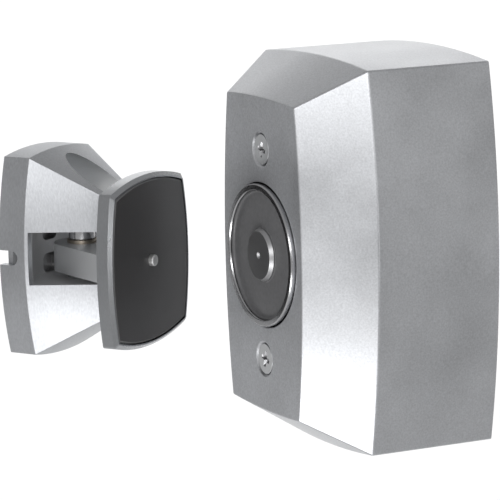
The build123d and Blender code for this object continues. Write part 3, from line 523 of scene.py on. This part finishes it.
def paint_light_where(material, where, colour):
    """Paints light or shade into a finish: another colour where a value is 1."""
    tint = material.node_tree.nodes.new("ShaderNodeMix")
    tint.data_type = "RGBA"
    base_colour = material.node_tree.nodes["Principled BSDF"].inputs["Base Color"]
    material.node_tree.links.new(where, tint.inputs["Factor"])
    material.node_tree.links.new(base_colour.links[0].from_socket, tint.inputs["A"])
    tint.inputs["B"].default_value = (*colour, 1)
    material.node_tree.links.new(tint.outputs["Result"], base_colour)


nickel = grained_metal("nickel_screw", (0.68, 0.69, 0.7), 0.3, 0.0004, 0.000006)
# Painted shade: every point deeper than the recess's lip, the rim of the head too, is turned darker.
in_recess = mask_above(nickel, reach_along(nickel, (0, 1, 0)), recess_lip_depth - head_face)
paint_light_where(nickel, in_recess, recess_painted_shade)
for end, z in (("upper", screw_height), ("lower", -screw_height)):
    outlines = [cross_outline(recess_span * share + extra, recess_slot * share + extra, recess_turns[end],
                              recess_ease * share) + (0, z)
                for share, extra in ((1, recess_lip), (1, 0), (recess_floor_share, 0), (point_share, 0))]
    recess_levels = (head_face, head_face - recess_lip_depth,
                     head_face - recess_depth * recess_wall_share, head_face - recess_depth)
    recess_rows = np.stack([on_wall(ring, level) for ring, level in zip(outlines, recess_levels)])
    recess_rows[-1] = recess_rows[-1].mean(axis=0)
    body_rows = eased_rows(
        [circle_on_wall(radius, depth, z=z, count=64) for depth, radius in (
            (head_face, head_radius * head_flat_share), (head_face, head_radius),
            (head_cone_top, head_radius), (head_cone_top - head_radius + shank_radius, shank_radius),
            (head_cone_top - shank_length, shank_radius), (head_cone_top - shank_length, tip_radius))],
        (0, edge_break, cone_ease, edge_break, tip_ease, 0))
    body_rows[-1] = body_rows[-1].mean(axis=0)
    cover_screw = join_shell(f"cross_screw_{end}", [strip(recess_rows), strip(body_rows)],
                             [flat_fill(body_rows[0], [recess_rows[0]])])
    finish_piece(cover_screw, nickel, "holder", f"cover_screw_{end}")

# Wall plate, posts, bracket and their screws: pressed and turned steel, zinc plated. The grommet is black
# rubber. The coil is copper wire on a nylon bobbin, and its two leads run to a moulded terminal block.
nodes = frame["nodes"]
zinc_steel = grained_metal("zinc_steel", (0.62, 0.63, 0.65), 0.38, 0.0009, 0.000012, mottle=0.12)
for name in ("wall_plate", "post_upper", "post_lower", "magnet_bracket", "bracket_screw_upper",
             "bracket_screw_lower", "lock_washer", "magnet_bolt", "block_screw", "plate_screw_upper",
             "plate_screw_lower"):
    dress(nodes[name], zinc_steel)
rubber = grained_metal("rubber", (0.03, 0.03, 0.03), 0.7, 0.0008, 0.00003, metallic=0.0)
dress(nodes["cable_grommet"], rubber)
dress(nodes["plate_cushion"], rubber)
brass = grained_metal("brass", (0.72, 0.53, 0.24), 0.3, 0.0004, 0.000006)
dress(nodes["terminal_screw_left"], brass)
dress(nodes["terminal_screw_right"], brass)
for name, slot, colour, roughness in (
        ("coil_bobbin", "bobbin_plastic", (0.72, 0.7, 0.64), 0.5),
        ("terminal_block", "terminal_plastic", (0.05, 0.05, 0.05), 0.45),
        ("lead_left", "lead_red", (0.5, 0.03, 0.025), 0.42),
        ("lead_right", "lead_black", (0.03, 0.03, 0.03), 0.42)):
    dress(nodes[name], grained_metal(slot, colour, roughness, 0.0006, 0.00001, metallic=0.0))
dress(nodes["coil_winding"], grained_metal("copper_wire", (0.75, 0.33, 0.16), 0.3, 0.0006, 0.00001,
                                           bands="Y", ring_pitch=0.0004))

# Armature base: an aluminium casting with satin facets. Its slot is left as cast and more matt, and its walls
# are painted lighter as light to lift the shade in them; the two pockets in the web behind the arm are
# painted darker as shade, and the hole that gives access to the pin is painted brighter as light. It is
# screwed to the door leaf and carries the pivot pin.
door_place, door_turn = (-0.0664, -0.1454, 0), math.radians(33)
slot_half, slot_start, web_half = 0.01051, 0.0132, 0.023
web_level, pocket_level = 0.0037, 0.0006
pocket_middle, pocket_half = 0.0032, 0.0051
access_height, access_radius, access_floor = 0.0303, 0.00853, 0.004
slot_matting = 0.2
slot_painted_light, pocket_painted_shade, hole_painted_light = (0.6, 0.605, 0.615), (0.34, 0.34, 0.345), (0.95, 0.96, 0.97)


def from_door(material, height=0.0, shrink=1):
    """A place on the surface, measured off the door leaf, aside along it and up from a height.

    The first of the three is divided by shrink, so that a large one leaves the distance from an axis."""
    measure = material.node_tree.nodes.new("ShaderNodeMapping")
    measure.vector_type = "TEXTURE"
    measure.inputs["Location"].default_value = (door_place[0], door_place[1], height)
    measure.inputs["Rotation"].default_value = (0, 0, door_turn)
    measure.inputs["Scale"].default_value = (shrink, 1, 1)
    place = material.node_tree.nodes.new("ShaderNodeTexCoord")
    material.node_tree.links.new(place.outputs["Object"], measure.inputs["Vector"])
    return measure.outputs["Vector"]


def mask_beyond(material, source, middle, half):
    """A value of 1 where the source is further than half a width from its middle."""
    offset = math_node(material, "SUBTRACT", source, middle)
    return mask_above(material, math_node(material, "ABSOLUTE", offset), half)


cast_aluminium = grained_metal("cast_aluminium", (0.5, 0.51, 0.53), 0.44, 0.0006, 0.00004,
                               stretch=(1, 1, 0.4), mottle=0.32)
axes = cast_aluminium.node_tree.nodes.new("ShaderNodeSeparateXYZ")
cast_aluminium.node_tree.links.new(from_door(cast_aluminium), axes.inputs["Vector"])
off_door, aside, height = axes.outputs
above_web = mask_above(cast_aluminium, off_door, web_level)
past_slot = mask_beyond(cast_aluminium, height, 0, slot_half)
on_web = math_node(cast_aluminium, "SUBTRACT", above_web, mask_beyond(cast_aluminium, aside, 0, web_half))
within = math_node(cast_aluminium, "MAXIMUM", mask_above(cast_aluminium, off_door, slot_start), on_web)
in_slot = math_node(cast_aluminium, "MULTIPLY", within,
                    math_node(cast_aluminium, "SUBTRACT", above_web, past_slot))
# Painted light: the slot's walls and floor are turned lighter, to lift the shade that falls in them.
paint_light_where(cast_aluminium, in_slot, slot_painted_light)
roughen_where(cast_aluminium, in_slot, slot_matting)
past_pocket = math_node(cast_aluminium, "MAXIMUM", past_slot,
                        mask_beyond(cast_aluminium, aside, pocket_middle, pocket_half))
under_web = math_node(cast_aluminium, "SUBTRACT",
                      mask_above(cast_aluminium, off_door, pocket_level), above_web)
in_pocket = math_node(cast_aluminium, "SUBTRACT", under_web, past_pocket)
# Painted shade: the pockets in the web behind the arm are turned darker.
paint_light_where(cast_aluminium, in_pocket, pocket_painted_shade)
off_axis = cast_aluminium.node_tree.nodes.new("ShaderNodeVectorMath")
off_axis.operation = "LENGTH"
cast_aluminium.node_tree.links.new(from_door(cast_aluminium, access_height, shrink=1000), off_axis.inputs[0])
in_hole = math_node(cast_aluminium, "SUBTRACT", mask_above(cast_aluminium, off_door, access_floor),
                    mask_above(cast_aluminium, off_axis.outputs["Value"], access_radius))
# Painted light: the inside of the access hole is turned brighter.
paint_light_where(cast_aluminium, in_hole, hole_painted_light)
dress(nodes["armature_base"], cast_aluminium)

# Pivot: a polished steel pin, let in from the upper access hole. Bronze bushes with flanges line the arm,
# and a steel sleeve above and a spacer below fill the slot.
pivot_place, upright = (-0.0483686, -0.1336903, 0), (0, 0, 1)
pin_bore = 0.00305
bush_length, bush_radius, flange_thickness, flange_radius = 0.0046, 0.0042, 0.0014, 0.006
filler_ease, bush_ease, bush_root_ease = 0.00035, 0.0003, 0.0001
pin_steel = grained_metal("pin_steel", (0.66, 0.66, 0.67), 0.22, 0.0005, 0.000004)
bronze = grained_metal("bronze", (0.4, 0.35, 0.29), 0.35, 0.0004, 0.00001, mottle=0.12)
dress(nodes["pivot_pin"], pin_steel)
for name, node, low, high, radius in (("slot_sleeve", "upper_sleeve", 0.005, 0.0105, 0.0052),
                                      ("slot_spacer", "lower_spacer", -0.0105, -0.009, 0.006)):
    filler = turned(name, pivot_place, upright,
                    [(low, pin_bore), (high, pin_bore), (high, radius), (low, radius)],
                    (edge_break, edge_break, filler_ease, filler_ease))
    finish_piece(filler, pin_steel, "holder", node)
for name, node, seat, way in (("flange_bush_upper", "upper_bush", 0.0035, 1),
                              ("flange_bush_lower", "lower_bush", -0.0075, -1)):
    foot, top = seat - way * bush_length, seat + way * flange_thickness
    bush = turned(name, pivot_place, upright,
                  [(foot, pin_bore), (top, pin_bore), (top, flange_radius), (seat, flange_radius),
                   (seat, bush_radius), (foot, bush_radius)],
                  (edge_break, bush_ease, bush_ease, edge_break, bush_root_ease, bush_ease))
    finish_piece(bush, bronze, "contact_plate", node)

# Contact carrier: an aluminium casting, a bowed square plate with a bevelled rim and the arm behind it,
# which is left as cast and more matt, and painted lighter as light to lift the shade in the slot. The
# armature plate is soft steel, blackened, with its chamfer and sides painted lighter as a highlight, and it
# is let into the carrier's face on a rubber cushion, held by two screws from behind.
plate_turn, plate_drop = math.radians(37.1), 0.002
plate_out = np.array([math.cos(plate_turn), math.sin(plate_turn), 0])
plate_across = np.array([-math.sin(plate_turn), math.cos(plate_turn), 0])
plate_middle = np.array(pivot_place) + (0, 0, -plate_drop)
plate_rear, plate_front, plate_chamfer = 0.0274, 0.031, 0.0007
arm_reach, arm_matting = 0.0246, 0.24
plate_width, plate_height, plate_corner = 0.0548, 0.0556, 0.0004
plate_rear_margin, plate_front_margin, plate_chamfer_ease = 0.001, 0.002, 0.00015
plate_side_bow, plate_end_bow = 0.0034, 0.0042
plate_pin_hole, plate_hole_margin = 0.00235, 0.0004
plate_screw_hole, plate_screw_bite, plate_screw_height = 0.00155, 0.0025, 0.022
face_skin = 0.00008
plate_edge_painted_highlight, arm_painted_light = (0.13, 0.13, 0.132), (0.7, 0.71, 0.72)


def on_plate(ring, depth):
    """A ring of across and up, stood off the pivot by a depth along the way the plate faces."""
    return (plate_middle + depth * plate_out
            + np.outer(ring[:, 0], plate_across) + np.outer(ring[:, 1], upright))


def circle_on_plate(radius, depth, up=0.0, count=64):
    """A circle r cos t, r sin t on the plate, at a height and a depth."""
    angle = np.linspace(0, 2 * math.pi, count, endpoint=False)
    return on_plate(np.column_stack([radius * np.cos(angle), up + radius * np.sin(angle)]), depth)


def plate_outline(inset):
    """The plate's bowed outline, moved in from its edge."""
    return bowed_ring(plate_width - 2 * inset, plate_height - 2 * inset, plate_side_bow, plate_end_bow,
                      plate_corner)


plate_rows = eased_rows(
    [on_plate(plate_outline(plate_rear_margin), plate_rear), on_plate(plate_outline(0), plate_rear),
     on_plate(plate_outline(0), plate_front - plate_chamfer),
     on_plate(plate_outline(plate_chamfer), plate_front),
     on_plate(plate_outline(plate_front_margin), plate_front)],
    (0, edge_break, plate_chamfer_ease, plate_chamfer_ease, 0))
pin_rows = eased_rows(
    [circle_on_plate(radius, depth) for radius, depth in (
        (plate_pin_hole + plate_hole_margin, plate_front), (plate_pin_hole, plate_front),
        (plate_pin_hole, plate_rear), (plate_pin_hole + plate_hole_margin, plate_rear))],
    (0, edge_break, edge_break, 0))
bite_rows = [np.stack([circle_on_plate(plate_screw_hole, plate_rear, up),
                       circle_on_plate(plate_screw_hole, plate_rear + plate_screw_bite, up),
                       circle_on_plate(0, plate_rear + plate_screw_bite, up)])
             for up in (plate_screw_height, -plate_screw_height)]
black_plate = join_shell(
    "black_plate", [strip(plate_rows), strip(pin_rows)] + [strip(rows) for rows in bite_rows],
    [flat_fill(plate_rows[-1], [pin_rows[0]]),
     flat_fill(plate_rows[0], [pin_rows[-1]] + [rows[0] for rows in bite_rows])])
black_steel = grained_metal("black_steel", (0.035, 0.034, 0.035), 0.36, 0.0008, 0.00002,
                            mottle=0.1, metallic=0.0)
pivot_level = float(np.dot(plate_middle, plate_out))
# Painted highlight: the chamfer and sides behind the plate's face are turned lighter.
behind_face = mask_above(black_steel, reach_along(black_steel, tuple(-plate_out)),
                         face_skin - plate_front - pivot_level)
paint_light_where(black_steel, behind_face, plate_edge_painted_highlight)
finish_piece(black_plate, black_steel, "contact_plate", "armature_plate")
carrier_aluminium = grained_metal("carrier_aluminium", (0.4, 0.41, 0.425), 0.28, 0.0005, 0.00004,
                                  stretch=(1, 1, 0.4), mottle=0.18)
# Painted light: the arm, which lies in the shade of the slot, is turned lighter.
on_arm = mask_above(carrier_aluminium, reach_along(carrier_aluminium, tuple(-plate_out)),
                    -pivot_level - arm_reach)
paint_light_where(carrier_aluminium, on_arm, arm_painted_light)
roughen_where(carrier_aluminium, on_arm, arm_matting)
dress(nodes["contact_carrier"], carrier_aluminium)

# Release pin and spring: a turned pin with a domed tip stands out of the plate's middle. A coil spring of
# drawn wire behind its collar pushes it out again when the magnet lets go.
collar_rear, collar_front, collar_radius, collar_root_ease = 0.0258, 0.0273, 0.0035, 0.0001
pin_tip, pin_radius, pin_tip_ease, pin_travel = 0.033, 0.0023, 0.0007, 0.002
spring_start, spring_length, spring_turns = 0.0152, 0.0102, 7
spring_radius, wire_radius = 0.0028, 0.0003
domed_pin = turned("domed_pin", plate_middle, plate_out,
                   [(collar_rear, 0), (collar_rear, collar_radius), (collar_front, collar_radius),
                    (collar_front, pin_radius), (pin_tip, pin_radius), (pin_tip, 0)],
                   (0, edge_break, edge_break, collar_root_ease, pin_tip_ease, 0), closed=False)
stud_steel = grained_metal("stud_steel", (0.62, 0.62, 0.62), 0.5, 0.0004, 0.00001)
finish_piece(domed_pin, stud_steel, "release_pin", "release_pin")


def coil_rows(steps=320, count=12):
    """A circle of wire carried along a helix, R cos t, R sin t and length t / 2 pi n, closed at both ends."""
    t = np.linspace(0, 2 * math.pi * spring_turns, steps)[:, None]
    up = np.array(upright, dtype=float)
    spoke = np.cos(t) * plate_across + np.sin(t) * up
    path = plate_middle + (spring_start + spring_length * t / t[-1]) * plate_out + spring_radius * spoke
    ahead = spring_radius * (np.cos(t) * up - np.sin(t) * plate_across) + spring_length / t[-1] * plate_out
    ahead /= np.linalg.norm(ahead, axis=1, keepdims=True)
    angle = np.linspace(0, 2 * math.pi, count, endpoint=False)[None, :, None]
    tube = (path[:, None] + wire_radius * np.cos(angle) * spoke[:, None]
            + wire_radius * np.sin(angle) * np.cross(ahead, spoke)[:, None])
    ends = [np.broadcast_to(path[i], tube[:1].shape) for i in (0, -1)]
    return np.concatenate([ends[0], tube, ends[1]])


spring_coil = join_shell("spring_coil", [strip(coil_rows())])
spring_steel = grained_metal("spring_steel", (0.5, 0.5, 0.5), 0.3, 0.0004, 0.000006)
finish_piece(spring_coil, spring_steel, "contact_plate", "release_spring")
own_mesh(spring_coil)
